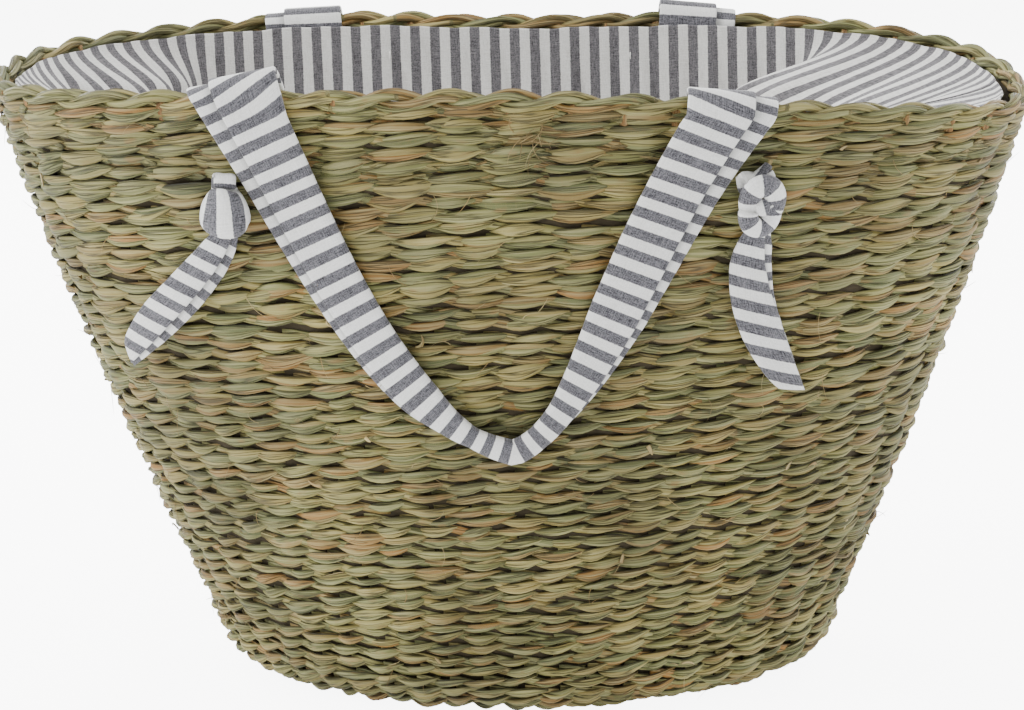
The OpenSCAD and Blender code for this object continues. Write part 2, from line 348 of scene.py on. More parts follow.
def cloth_material(name, pale, dark, period=0.010):
    """Striped cotton. fibre holds: across the stripes, along the stripes, a lightness that paints shade, 1
    where unshaded.
    """
    g = Graph(name)
    x, y, painted_lightness = g.fibre()
    edge = g.noise(g.math("MULTIPLY", x, 300.0), g.math("MULTIPLY", y, 900.0), 3.0, 2.0)
    place = g.math("ADD", x, g.math("MULTIPLY", g.math("SUBTRACT", edge, 0.5), 0.0006))
    cycle = g.math("FRACT", g.math("DIVIDE", place, period))
    away = g.math("ABSOLUTE", g.math("SUBTRACT", cycle, 0.5))
    stripe = g.span(away, 0.235, 0.265)
    warp = g.noise(g.math("MULTIPLY", x, 2600.0), g.math("MULTIPLY", y, 170.0), 1.0, 2.0)
    weft = g.noise(g.math("MULTIPLY", x, 170.0), g.math("MULTIPLY", y, 2600.0), 7.0, 2.0)
    speck = g.noise(g.math("MULTIPLY", x, 1300.0), g.math("MULTIPLY", y, 1300.0), 5.0, 2.0)
    threads = g.math("ADD", g.math("ADD", warp, weft), speck)
    heather = g.mix(g.span(threads, 1.2, 1.85), rgb(*dark[0]), rgb(*dark[1]))
    white = g.mix(g.span(threads, 1.2, 1.8), rgb(*pale[0]), rgb(*pale[1]))
    color = g.mix(stripe, white, heather)
    # painted shade: the cloth is multiplied by that lightness, darker in the strap's step and on knot pieces
    # that lie under others
    color = g.mix(1.0, color, g.add("ShaderNodeCombineXYZ", X=painted_lightness, Y=painted_lightness, Z=painted_lightness), "MULTIPLY")
    g.put(g.shader.inputs["Sheen Weight"], 0.25)
    g.put(g.shader.inputs["Sheen Roughness"], 0.5)
    return g.finish(color, 0.88, threads, 0.00025, 0.6)


GRASS_COLORS = [(0.0, (88, 96, 52)), (0.24, (118, 122, 70)), (0.50, (138, 134, 74)),
                (0.74, (162, 146, 80)), (0.89, (132, 104, 50)), (0.97, (152, 108, 44))]
grass = grass_material("seagrass", GRASS_COLORS, (50, 46, 22))
braid = grass_material("seagrass_braid", [(p, tuple(min(255, c + 10) for c in col))
                                          for p, col in GRASS_COLORS], (66, 60, 32), shade=0.45)
stake_mat = grass_material("stake", [(0.0, (178, 128, 70)), (0.5, (160, 108, 58)), (1.0, (196, 150, 88))],
                           (96, 60, 30), 0.7, shade=0.2)
straw = grass_material("straw", [(0.0, (186, 166, 108)), (0.5, (160, 124, 66)), (1.0, (206, 190, 136))],
                       (110, 84, 44), 0.6, shade=0.2)


def shadow_material():
    """Painted shade for the inside of the weave behind the stitches, a dark brown where the inner strands
    lie in shadow.
    """
    g = Graph("weave_shadow")
    along, across = g.fibre()[:2]
    mottle = g.noise(g.math("MULTIPLY", along, 300.0), g.math("MULTIPLY", across, 900.0), 2.0)
    return g.finish(g.mix(mottle, rgb(38, 32, 20), rgb(74, 64, 42)), 0.9, mottle, 0.0006, 0.8)


def thread_material():
    """White sewing thread."""
    g = Graph("thread")
    mottle = g.noise(g.math("MULTIPLY", g.fibre()[0], 2500.0), 0.0, 0.0)
    return g.finish(g.mix(mottle, rgb(226, 224, 218), rgb(244, 243, 240)), 0.8)


shadow = shadow_material()
thread = thread_material()
cloth = cloth_material("lining_cloth", ((214, 212, 207), (242, 241, 237)),
                       ((60, 58, 62), (134, 131, 134)))
strap_cloth = cloth_material("strap_cloth", ((226, 226, 223), (250, 250, 248)),
                             ((26, 26, 34), (134, 133, 140)))

# ---------------------------------------------------------------- twined wall and base
RING_COUNT, SIDE_COUNT = 9, 8
BLADE_HEIGHT, BLADE_DEPTH, BLADES_APART = 0.00235, 0.00180, 0.00115
FIBRE_STITCH = 0.018        # metres of the fibre attribute to a stitch


def stitches(s0, h0, pitch, scale, seeds, inner=False):
    """Strands over the wall, each of two blades twisted together. s0, h0 is a strand's
    middle, pitch the step from strand to strand round the basket, scale its size."""
    n = len(s0)

    def vary(middle, spread):
        return (middle + spread * rng.normal(size=n))[:, None, None]

    w = np.linspace(-0.65, 0.65, RING_COUNT)[None, :, None]
    phi = (np.linspace(0, 2 * pi, SIDE_COUNT, endpoint=False) - pi / 2)[None, None, :]
    taper = np.cos(w * pi / 1.38) ** 0.8
    rise = vary(0.0012, 0.0004) * (-1 if inner else 1)
    sag = vary(0.0003, 0.0004)
    turn, spin = vary(0.2, 0.6), vary(0.7, 0.6)
    step = pitch[:, None, None] * vary(1.0, 0.08)
    depth = np.abs(vary(0, 0.0008))
    dive = vary(0.0022, 0.0004)
    size = np.clip(scale, 0.75, 1.1)[:, None, None] * vary(1.0, 0.09)
    parts = []
    for blade in (0, 1):
        high = vary(BLADE_HEIGHT, 0.0003) * size * taper
        thick = vary(BLADE_DEPTH, 0.0003) * (taper * 0.6 + 0.4)
        angle = turn + spin * w + pi * blade
        apart = vary(BLADES_APART, 0.0003) * size * taper
        crease = (phi - vary(0.3, 0.9) - spin * w + pi) % (2 * pi) - pi
        shape = 1 - 0.24 * np.exp(-(crease / 0.45) ** 2)
        ds = step * w * (1 + vary(0, 0.05))
        dh = rise * np.sin(w * 2.5) + sag * (4 * w * w - 0.4) + apart * np.cos(angle)
        dh = dh + high * np.cos(phi) * shape
        out = -0.0018 - depth - dive * (1 - np.cos(pi * w)) + 0.0006 * np.sin(angle)
        out = out + thick * np.sin(phi) * shape
        out = -WALL_T - out if inner else out + swell(h0)[:, None, None]
        points = wall(s0[:, None, None] + ds, h0[:, None, None] + dh, out)
        metres = w * FIBRE_STITCH + 0 * phi + rng.uniform(0, 5, n)[:, None, None]
        round_it = (phi + pi / 2) * FIBRE_ROUND + 0 * metres
        seed = ((seeds + 0.07 * blade + rng.normal(0, 0.05, n)) % 1.0)[:, None, None] + 0 * metres
        parts.append((points, tube_quads(n, RING_COUNT, SIDE_COUNT, flip=inner),
                      np.stack([metres, round_it, seed], -1)))
    return join_parts(parts)


def behind(s0, h0, pitch):
    """The strand that passes behind, seen in the gaps between two stitches."""
    n = len(s0)
    w = np.linspace(-0.5, 0.5, 5)[None, :, None]
    phi = (np.linspace(0, 2 * pi, 6, endpoint=False) - pi / 2)[None, None, :]
    ds = pitch[:, None, None] * w
    dh = -0.0014 * np.sin(w * pi) + 0.0026 * np.cos(phi) * (1 - 1.2 * w * w)
    out = -0.0052 + 0.0009 * np.cos(w * pi) + 0.0012 * np.sin(phi) + swell(h0)[:, None, None]
    points = wall(s0[:, None, None] + ds, h0[:, None, None] + dh, out)
    metres = w * FIBRE_STITCH + 0 * phi + rng.uniform(0, 5, n)[:, None, None]
    vectors = np.stack(np.broadcast_arrays(metres, (phi + pi / 2) * FIBRE_ROUND,
                                           rng.uniform(0, 0.9, n)[:, None, None]), -1)
    return points, tube_quads(n, 5, 6), vectors


ROW_PITCH = 0.0058
ROWS = 54
INNER_ROWS = 6              # rows at the top that are also seen from inside
BASE_STITCH = 0.0150        # length of a stitch under the base
FLOOR = 0.0002              # no strand reaches below this
H_TOP_ROW = H_RIM - BORDER_H + 0.0014
row_h = H_TOP_ROW - ROW_PITCH * np.arange(ROWS)[::-1]
row_shift = np.cumsum(rng.normal(0, 0.10, ROWS)) + 0.16 * (np.arange(ROWS) % 2)


def wall_row(row, inner=False):
    j = np.arange(STAKES)
    f = (j + 0.5 + row_shift[row] + rng.normal(0, 0.05, STAKES)) / STAKES
    wander = 0.0011 * wave_noise(f * 9, 100 + row // 3) + rng.normal(0, 0.00045, STAKES)
    h = row_h[row] + wander * min(1, (ROWS - row) / 4)
    strand = (row * 2 + j % 2) * 31 + (j + row * 5) // 9
    seeds = (np.sin(strand * 12.9898) * 43758.5453) % 1.0
    pitch = np.full(STAKES, 1 / STAKES)
    parts = [stitches(f, h, pitch, girth(h) / 1.1, seeds, inner)]
    if not inner:
        parts.append(behind(f + 0.5 / STAKES, h, pitch))
    return join_parts(parts)


def base_row(h):
    n = max(int(girth(h) / BASE_STITCH), 8)
    f = (np.arange(n) + rng.uniform()) / n + rng.normal(0, 0.04, n) / n
    return stitches(f, np.full(n, h), np.full(n, 1 / n), np.full(n, 1.0), rng.uniform(0, 1, n))


def fixed_piece(name, part, material, slot, *nodes):
    """A piece of the basket's body that stands for CAD nodes."""
    points, quads, vectors = part
    piece = make_mesh(name, points, quads, material, vectors)
    for node in nodes:
        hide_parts(node)
    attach(piece, "basket")
    return piece


def on_floor(part):
    part[0][..., 2] = np.maximum(part[0][..., 2], FLOOR)
    return part


BAND = 5
for first in range(0, ROWS, BAND):
    rows = range(first, min(first + BAND, ROWS))
    band = on_floor(join_parts([wall_row(r) for r in rows]))
    fixed_piece("weave_band_%02d" % (first // BAND), band, grass, "seagrass", "wall_weave")
inside = join_parts([wall_row(r, True) for r in range(ROWS - INNER_ROWS, ROWS)])
fixed_piece("weave_inside", inside, grass, "seagrass", "wall_weave")
under = [base_row(h) for h in np.arange(-0.0668, row_h[0] - 0.003, ROW_PITCH)]
fixed_piece("weave_base", on_floor(join_parts(under)), grass, "seagrass", "base_mat")


def core():
    """The inside of the weave, a shell between depths of 4.5 and 8.2 mm, coloured dark as painted shade."""
    hs = np.concatenate([np.linspace(-0.0698, 0, 12), np.linspace(0.003, ARC, 6),
                         np.linspace(ARC + 0.01, H_TOP_ROW + 0.001, 24)])
    s = np.linspace(0, 1, 112, endpoint=False)
    hh = np.concatenate([hs, hs[::-1]])
    off = np.concatenate([np.full(len(hs), -0.0045), np.full(len(hs), -0.0082)])
    points = wall(s[:, None], hh[None, :], off[None, :])
    vectors = np.stack(np.broadcast_arrays(s[:, None], hh[None, :], 0.0), -1)
    return points, tube_quads(1, len(s), len(hh), closed=True), vectors


fixed_piece("weave_core", core(), shadow, "stake", "wall_weave", "base_mat")

# ---------------------------------------------------------------- border and stakes
H_BORDER = H_RIM - BORDER_H / 2
PER_STAKE = 14


def border_strand(phase, cord):
    """One of the three cords of a plaited bundle; phase is the bundle."""
    n = STAKES * PER_STAKE
    f = np.arange(n) / PER_STAKE
    number = phase * 3 + cord
    near_end = smooth((n - np.arange(n)) / 40.0)  # the strand closes on itself
    lift = 0.0026 * (1 + 0.13 * wave_noise(f / 2, 7 + phase) * near_end) * np.cos(pi * (f + phase))
    front = -0.0020 * np.sin(pi * (f + phase))
    spin = 2 * pi * np.round(STAKES / 3.3) / STAKES * f + 2 * pi * cord / 3 + 0.6 * phase
    apart = 0.00155
    radius = 0.00162 * (1 + 0.14 * wave_noise(f * 1.3, 31 + number) * near_end)
    h = H_BORDER + 0.0006 + lift + apart * np.cos(spin)
    off = -WALL_T / 2 - 0.0006 + front + 0.85 * apart * np.sin(spin)
    sides = 8
    phi = np.linspace(0, 2 * pi, sides, endpoint=False) - pi / 2
    shape = 1 - 0.18 * np.exp(-(((phi[None] - spin[:, None] * 0.7 + pi) % (2 * pi) - pi) / 0.5) ** 2)
    s = (f / STAKES)[:, None]
    points = wall(s + 0 * phi, h[:, None] + radius[:, None] * np.cos(phi) * shape * 1.1,
                  off[:, None] + radius[:, None] * np.sin(phi) * shape)
    pieces = np.floor(f / 5.5 + number * 0.4) * 0.137 + number * 0.21
    vectors = np.stack(np.broadcast_arrays(f[:, None] * 0.026, (phi + pi / 2) * 0.0016,
                                           (pieces % 1)[:, None]), -1)
    return points, tube_quads(1, n, sides, closed=True), vectors


for phase in (0, 1):
    bundle = join_parts([border_strand(phase, cord) for cord in range(3)])
    fixed_piece("border_plait_%d" % (phase + 1), bundle, braid, "seagrass_braid", "rim_border")


def stubs():
    """Stake ends that show in the eyes of the border."""
    sides, rings = 8, 5
    phi = np.linspace(0, 2 * pi, sides, endpoint=False)[None, None, :]
    rise = np.array([-0.006, -0.003, 0.0, 0.0018, 0.0024])[None, :, None]
    size = np.array([1.0, 1.0, 1.0, 0.85, 0.45])[None, :, None]
    n = STAKES
    f = (np.arange(n) + rng.normal(0, 0.06, n))[:, None, None]
    radius = rng.uniform(0.0021, 0.0027, n)[:, None, None] * size
    ragged = 1 + 0.12 * np.sin(phi * 3 + f * 5)
    top = rng.normal(-0.0008, 0.0012, n)[:, None, None]
    s = f / STAKES + radius * ragged * np.sin(phi) / 1.29
    h = H_BORDER - 0.0016 + top + rise + 0 * phi + 0.0005 * np.cos(phi + f) * (rise > 0)
    off = -WALL_T / 2 - 0.0006 + radius * ragged * np.cos(phi)
    points = wall(s, h, off)
    vectors = np.stack(np.broadcast_arrays(rise, phi * 0.0024, (f * 0.37) % 1), -1)
    return points, tube_quads(n, rings, sides), vectors


fixed_piece("stake_ends", stubs(), stake_mat, "stake", "stake_tops")


def strays(count, seed, long, thick, flat, lift, tuft=None):
    """Loose fibres and cut strand ends that stand off the wall, all over it or in a tuft
    at (s, h)."""
    r = np.random.default_rng(seed)
    rings, sides = 7, 6
    t = np.linspace(0, 1, rings)[None, :, None]
    phi = np.linspace(0, 2 * pi, sides, endpoint=False)[None, None, :]
    s0, h0 = r.uniform(0, 1, count), r.uniform(0.02, H_TOP_ROW, count)
    if tuft is not None:
        s0, h0 = tuft[0] + r.normal(0, 0.004, count), tuft[1] + r.normal(0, 0.002, count)
    way = r.uniform(-pi, pi, count)[:, None, None]
    size = (long * r.uniform(0.5, 1.3, count))[:, None, None]
    bend = r.normal(0, 0.9, count)[:, None, None] * t
    x = size * t * np.cos(way + bend)
    y = size * t * np.sin(way + bend)
    up = -0.0015 + lift * r.uniform(0.6, 1.3, count)[:, None, None] * t ** 1.2
    fade = 1 - 0.75 * t ** 3
    x = x + flat * np.cos(phi) * np.sin(way + bend) * fade
    y = y - flat * np.cos(phi) * np.cos(way + bend) * fade
    up = up + thick * np.sin(phi) * fade
    g = girth(h0)[:, None, None]
    points = wall(s0[:, None, None] + x / g, np.clip(h0[:, None, None] + y, 0.004, H_RIM), up)
    tone = r.uniform(0, 1, count)[:, None, None]
    vectors = np.stack(np.broadcast_arrays(t * size, phi * 0.0006, tone), -1)
    return points, tube_quads(count, rings, sides), vectors


loose = join_parts([strays(260, 3, 0.011, 0.00014, 0.00018, 0.0055),
                    strays(16, 4, 0.014, 0.00016, 0.0002, 0.006, (0.757, H_TOP_ROW - 0.012))])
fixed_piece("loose_fibres", loose, straw, "seagrass", "wall_weave")
ends = strays(60, 5, 0.0065, 0.0005, 0.0011, 0.0024)
fixed_piece("strand_ends", ends, straw, "seagrass", "wall_weave")

# ---------------------------------------------------------------- straps
LINING_GAP, STRAP_T, STRAP_W, FOLD_R = 0.0044, 0.003, 0.040, 0.0092
GRIP_T, AIR = 0.008, 0.0004
NECK_W = 0.020              # width of a strap in its slot
STRAP_START = 0.0028        # height of a strap's inner end over the knot's middle
RIGHT_TILT = -0.16          # slope of the right legs' stripes against square
INSIDE_STATIONS, FOLD_STATIONS, LEG_STATIONS = 8, 15, 60
STRAP_INSET = WALL_T + (LINING_GAP + STRAP_T) / 2
KNOT_Z, GRIP_Z = HEIGHT - 0.053, HEIGHT - 0.170
V_BORDER = BORDER_Z / HEIGHT
# each end: x at the rim, x of the knot, how straight down its leg starts, how far out
# it stays, lift of the fold, how far its crest stands back from x
HANDLES = {
    "front": (-1, (-0.119, -0.129, 0.74, 1.42, 0.0080, 0.0045), (0.098, 0.112, 0.56, 1.02, 0.001, 0.001)),
    "back": (1, (-0.109, -0.121, 0.62, 1.02, 0.001, 0.001), (0.100, 0.114, 0.58, 1.02, 0.004, 0.001))}
# across a strap: share of the half width, height in thicknesses; u = 1 is inside the loop
LAYERS = np.array([(-0.98, 0.04), (-0.6, 0.0), (-0.2, 0.0), (0.2, 0.0), (0.6, 0.0), (0.96, 0.02),
                   (1.0, 0.22), (1.0, 0.80), (0.96, 1.0), (0.7, 0.97), (0.4, 0.96), (0.1, 0.97),
                   (-0.2, 0.98), (-0.40, 1.0), (-0.445, 0.90), (-0.45, 0.42), (-0.47, 0.30),
                   (-0.7, 0.28), (-0.95, 0.30), (-1.0, 0.2)])
STEP_AT = 0.45              # place of the upper layer's edge in that list
TOP_LAYER = np.array([0] * 6 + [1] * 9 + [0] * 5)
# painted shade of each of those points, 1 where unshaded, dark on the upper layer's edge and in the corner
# under it
STEP_PAINTED_SHADE = np.array([1.0] * 14 + [0.85, 0.45, 0.55, 0.97, 1.0, 1.0])
# width of a leg along it, left (1) and right (-1)
LEG_WIDTHS = {1: ([0, 0.15, 0.31, 0.47, 0.64, 0.72, 0.80, 0.88, 1],
                  [0.0350, 0.0320, 0.0280, 0.0248, 0.0218, 0.0196, 0.0140, 0.0100, 0.012]),
              -1: ([0, 0.15, 0.31, 0.47, 0.64, 0.77, 0.88, 1],
                   [0.0345, 0.0330, 0.0308, 0.0272, 0.0190, 0.0130, 0.0115, 0.012])}


def unit(v):
    return v / np.linalg.norm(v)


def distances(path):
    """How far along a path each of its points lies."""
    return np.concatenate([[0], np.cumsum(np.linalg.norm(np.diff(path, axis=0), axis=1))])


def strap_stations(side, end, e, hinge):
    """Stations from the knot's slot up inside, over the rim and down to the lowest point.
    Each is a function of (u, off) that returns points, with u = 1 inside the loop."""
    x_rim, x_knot, steep, stay, lift, crest_back = end
    stations, shear = [], []
    tilt = 0.0 if e > 0 else RIGHT_TILT
    slope_at_rim = STRAP_W / 2 * (0.50 + tilt)
    low, high = KNOT_Z + STRAP_START, hinge(x_rim)[1] - 0.0005
    for f in np.linspace(0, 1, INSIDE_STATIONS + 1)[:-1]:
        x, z = x_knot + (x_rim - x_knot) * f, low + (high - low) * f
        half = (NECK_W + (STRAP_W - NECK_W) * f ** 0.6) / 2
        stations.append(lambda u, off, x=x, z=z, half=half: on_wall(
            side, x + e * u * half, z, STRAP_T - STRAP_INSET - off))
        shear.append(0.0)
    for phi in np.linspace(0, pi, FOLD_STATIONS):
        def arch(u, off, phi=phi):
            x = x_rim + e * (u * STRAP_W / 2 - crest_back * np.sin(phi))
            y_h, z_h = hinge(x)
            y_b = reach(x, V_BORDER, WALL_T / 2)
            crest = BORDER_Z - dip(x, side * y_b, V_BORDER)
            inner = reach(x, V_BORDER, STRAP_INSET - STRAP_T + off)
            outer = y_h + FOLD_R + off
            y = side * ((inner + outer) / 2 - (outer - inner) / 2 * np.cos(phi))
            z = z_h + (crest - z_h + BORDER_H / 2 + AIR + off) * np.sin(phi)
            z = z + lift * (0.55 + 0.45 * u) * max(np.sin(phi), 0.0) ** 0.7
            return np.stack([x, y, z], -1)
        stations.append(arch)
        shear.append(slope_at_rim * smooth((phi - (0.2 if side < 0 else 1.7)) / 1.2))
    top = np.array([x_rim, high])

    def route(t):
        r = 1 - t
        return np.array([top[0] * (r ** 3 + 3 * steep * r * r * t + stay * r * t * t),
                         top[1] + (GRIP_Z - top[1]) * (1.17 * r * r * t + 2.78 * r * t * t + t ** 3)])

    for t in np.linspace(0, 1, LEG_STATIONS + 1)[1:]:
        along = unit(route(t + 0.01) - route(t - 0.01))
        square = np.array([-along[1], along[0]])
        f = smooth(4 * t)
        level_way = unit(np.array([1 - f, 0]) + square * f)
        across = e * level_way
        half = np.interp(t, *LEG_WIDTHS[e]) / 2 / abs(np.dot(level_way, square))
        thick = (STRAP_T + (GRIP_T - STRAP_T) * t ** 3) / STRAP_T

        def leg(u, off, c=route(t), across=across, half=half, thick=thick):
            x, z = c[0] + across[0] * half * u, c[1] + across[1] * half * u
            y_h, z_h = hinge(x)
            g = smooth((z_h - z) / 0.045)
            lie = reach(x, level(x, z, side), 0) + 0.001
            round_off = (thick - 1) / 1.7 * 0.0026 * (1 - u * u)
            y = (y_h + FOLD_R) * (1 - g) + lie * g
            y = y + off * (1 + 0.5 * (thick - 1)) + round_off * (off > 0.001)
            return np.stack([x, side * y, z], -1)
        stations.append(leg)
        shear.append(half * (float(np.dot(across, along)) + tilt * (1 - smooth(t / 0.6))))
    return stations, shear


def handle(name):
    """A whole strap, from slot to slot, that folds where it crosses the rim."""
    side, left, right = HANDLES[name]
    mid = []
    for x in (left[0], right[0]):
        y = reach(x, V_BORDER, WALL_T / 2)
        mid.append((x, y, BORDER_Z - dip(x, side * y, V_BORDER)))

    def hinge(x):
        f = (x - mid[0][0]) / (mid[1][0] - mid[0][0])
        return mid[0][1] + (mid[1][1] - mid[0][1]) * f, mid[0][2] + (mid[1][2] - mid[0][2]) * f

    down, down_shear = strap_stations(side, left, 1, hinge)
    up, up_shear = strap_stations(side, right, -1, hinge)
    stations = down + up[:-1][::-1]
    shear = np.array(down_shear + [-k for k in up_shear[:-1][::-1]])
    u, high = LAYERS[:, 0], LAYERS[:, 1] * STRAP_T
    n = len(stations)
    edge = np.concatenate([np.full(len(down) - LEG_STATIONS, -0.5), np.linspace(-0.5, -0.98, LEG_STATIONS)])
    edge = np.concatenate([edge, edge[:-1][::-1]])
    us = np.stack([np.interp(u, [-1, -STEP_AT, 1], [-1, e, 1]) for e in edge])
    points = np.stack([st(row, high) for st, row in zip(stations, us)])
    centre = np.stack([st(np.zeros(1), np.full(1, 0.0015))[0] for st in stations])
    run = distances(centre)
    seed = 5 if side < 0 else 9
    ripple = 0.00035 * wave_noise(run * 90, seed)[:, None] * np.maximum(high, 0)[None] / STRAP_T
    points[..., 1] += side * ripple
    late = smooth((run - run[len(down)]) / 0.05 + 0.5)[:, None]
    phase = 0.0008 * TOP_LAYER[None] + 0.0045 * TOP_LAYER[None] * late
    stripes = run[:, None] + phase + shear[:, None] * us + 0.0004 * wave_noise(run * 60, seed + 1)[:, None]
    vectors = np.stack(np.broadcast_arrays(stripes, u[None] * 0.02, STEP_PAINTED_SHADE[None]), -1)
    quads = tube_quads(1, n, len(u), flip=side > 0)
    strap = make_mesh("strap_" + name, points, quads, strap_cloth, vectors)
    for node in ("handle_" + name, "strap_fold_%s_left" % name, "strap_fold_%s_right" % name,
                 "strap_inside_%s_left" % name, "strap_inside_%s_right" % name):
        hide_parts(node)
    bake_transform(strap)


for name in HANDLES:
    handle(name)


# ---------------------------------------------------------------- knots and tails
def sweep(path, wide, half_w, half_t, start=0.0, lean=0.0, power=0.8, painted_lightness=1.0, sides=16,
          closed=False):
    """A band with a rounded section along a path of (x, z, off the wall). wide is the
    direction of its width, start and lean place its stripes."""
    path = np.asarray(path, float)
    n = len(path)
    step = (np.roll(path, -1, 0) - np.roll(path, 1, 0)) if closed else np.gradient(path, axis=0)
    tangent = step / (np.linalg.norm(step, axis=1, keepdims=True) + 1e-12)
    wide = np.broadcast_to(np.asarray(wide, float), path.shape)
    wide = wide - tangent * np.sum(wide * tangent, 1, keepdims=True)
    wide = wide / np.linalg.norm(wide, axis=1, keepdims=True)
    thick = np.cross(tangent, wide)
    phi = np.linspace(0, 2 * pi, sides, endpoint=False)
    a = np.sign(np.cos(phi)) * np.abs(np.cos(phi)) ** power
    b = np.sign(np.sin(phi)) * np.abs(np.sin(phi)) ** power
    half_w = np.broadcast_to(half_w, n)[:, None]
    half_t = np.broadcast_to(half_t, n)[:, None]
    points = path[:, None] + wide[:, None] * (half_w * a)[..., None]
    points = points + thick[:, None] * (half_t * b)[..., None]
    run = distances(path)[:, None] + start
    # the third fibre value is a lightness that paints shade, 1 where unshaded
    vectors = np.stack(np.broadcast_arrays(run + lean * half_w * a, half_w * a, painted_lightness), -1)
    return points, tube_quads(1, n, sides, closed=closed), vectors


def along_curve(keys, n=40):
    """Smooth rows through keys (Catmull-Rom), one column per value."""
    keys = np.asarray(keys, float)
    padded = np.concatenate([[2 * keys[0] - keys[1]], keys, [2 * keys[-1] - keys[-2]]])
    t = np.linspace(0, len(keys) - 1, n)
    i = np.minimum(t.astype(int), len(keys) - 2)
    f = (t - i)[:, None]
    p0, p1, p2, p3 = padded[i], padded[i + 1], padded[i + 2], padded[i + 3]
    return 0.5 * (2 * p1 + (p2 - p0) * f + (2 * p0 - 5 * p1 + 4 * p2 - p3) * f ** 2
                  + (3 * p1 - p0 - 3 * p2 + p3) * f ** 3)


def wrapped_knot():
    """A puffed band wrapped round the neck of the strap, seen as one round bundle."""
    parts = []
    a = np.linspace(-0.62 * pi, 0.62 * pi, 30)
    wrap = np.stack([0.0078 * np.sin(a), -0.0006 + 0.0012 * np.sin(a), 0.0035 + 0.0068 * np.cos(a)], -1)
    height = 0.0118 - 0.0040 * np.abs(np.sin(a)) ** 3
    points, quads, vectors = sweep(wrap, (0.10, 1, 0), height, 0.0036, 0.0002, -0.22, 0.9)
    up = np.clip(points[..., 1] / 0.012, -1, 1)
    points[..., 0] = points[..., 0] * (1 - 0.24 * up) - 0.0016 * up
    parts.append((points, quads, vectors))
    neck = along_curve([(0.001, 0.0, -0.0135), (0.0005, 0.004, -0.004), (0.0, 0.0120, 0.0015),
                        (0.001, 0.0150, 0.0035), (0.001, 0.0105, 0.006)], 24)
    half_w = np.interp(np.linspace(0, 1, 24), [0, .5, 1], [0.0085, 0.0055, 0.005])
    # its last argument, 0.92, darkens the neck as painted shade where it passes under the wrap
    parts.append(sweep(neck, (1, 0, 0), half_w, 0.0019, 0.0, 0.0, 0.8, 0.92))
    return parts


def ring_knot():
    """Two loops laced through each other round a small middle."""
    parts = []
    a = np.linspace(radians(222), radians(-52), 34)
    arch = np.stack([0.0006 + 0.0058 * np.cos(a), 0.0024 + 0.0076 * np.sin(a),
                     0.0060 + 0.0030 * np.sin(a) - 0.0006 * np.cos(a)], -1)
    out = np.stack([np.cos(a), np.sin(a), 0 * a], -1)
    parts.append(sweep(arch, out, 0.0052, 0.0036, 0.0012, 0.0, 0.9))
    b = np.linspace(radians(168), radians(402), 30)
    cup = np.stack([-0.0004 + 0.0056 * np.cos(b), -0.0036 + 0.0070 * np.sin(b),
                    0.0062 - 0.0022 * np.cos(b) + 0.0012 * np.sin(b)], -1)
    out = np.stack([np.cos(b), np.sin(b), 0 * b], -1)
    parts.append(sweep(cup, out, 0.0047, 0.0034, 0.0062, 0.0, 0.9))
    c = np.linspace(-1, 1, 8)
    plug = np.stack([0.0004 + 0.0036 * c, -0.0004 + 0.0010 * c, 0.0080 + 0 * c], -1)
    bulge = np.sqrt(1.02 - c * c)
    # its last argument, 0.95, darkens the middle as painted shade between the loops
    parts.append(sweep(plug, (0, 1, 0), 0.0042 * bulge, 0.0030 * bulge, 0.0030, 0.0, 1.0, 0.95))
    flap = along_curve([(0.0, 0.0, -0.0135), (0.0, 0.004, -0.003), (-0.002, 0.0105, 0.0018),
                        (-0.003, 0.0138, 0.0030), (0.001, 0.0120, 0.0050)], 24)
    half_w = np.interp(np.linspace(0, 1, 24), [0, .5, 1], [0.0085, 0.0090, 0.0075])
    # its last argument, 0.85, darkens the flap as painted shade under the loops
    parts.append(sweep(flap, (1, 0.12, 0), half_w, 0.0017, 0.003, 0.0, 0.8, 0.85))
    return parts


# routes of the tails from the knot's middle: (x, z, off the wall, half width)
TAIL_LEFT = [
    (0.001, -0.011, 0.0035, 0.0050), (-0.003, -0.018, 0.0032, 0.0072), (-0.010, -0.028, 0.0034, 0.0088),
    (-0.022, -0.042, 0.0050, 0.0098), (-0.036, -0.057, 0.0068, 0.0096), (-0.047, -0.070, 0.0085, 0.0072),
    (-0.052, -0.0765, 0.0092, 0.0052)]
TAIL_RIGHT = [
    (0.001, -0.011, 0.0035, 0.0045), (-0.0015, -0.018, 0.0032, 0.0078), (-0.0035, -0.030, 0.0034, 0.0098),
    (-0.002, -0.046, 0.0040, 0.0100), (0.003, -0.062, 0.0046, 0.0096), (0.010, -0.077, 0.0052, 0.0080),
    (0.0175, -0.091, 0.0060, 0.0052)]
# each end's knot, tail route, place of its stripes, direction square to the upper layer's
# stripes, edge of the upper layer (share of the length, places there and at the tip), x of
# the pivot from the knot, direction along the top of the tail
ENDS = {"left": (wrapped_knot, TAIL_LEFT, 0.0052, (-0.42, -0.906), (0.5, 0.5, 0.62), -0.003, (0.592, 0.798)),
        "right": (ring_knot, TAIL_RIGHT, 0.0030, (-0.29, -0.956), (0.50, 0.98, 0.99), 0.0, (0.229, 0.953))}
PIVOT_DROP, BEND_LENGTH = 0.018, 0.012


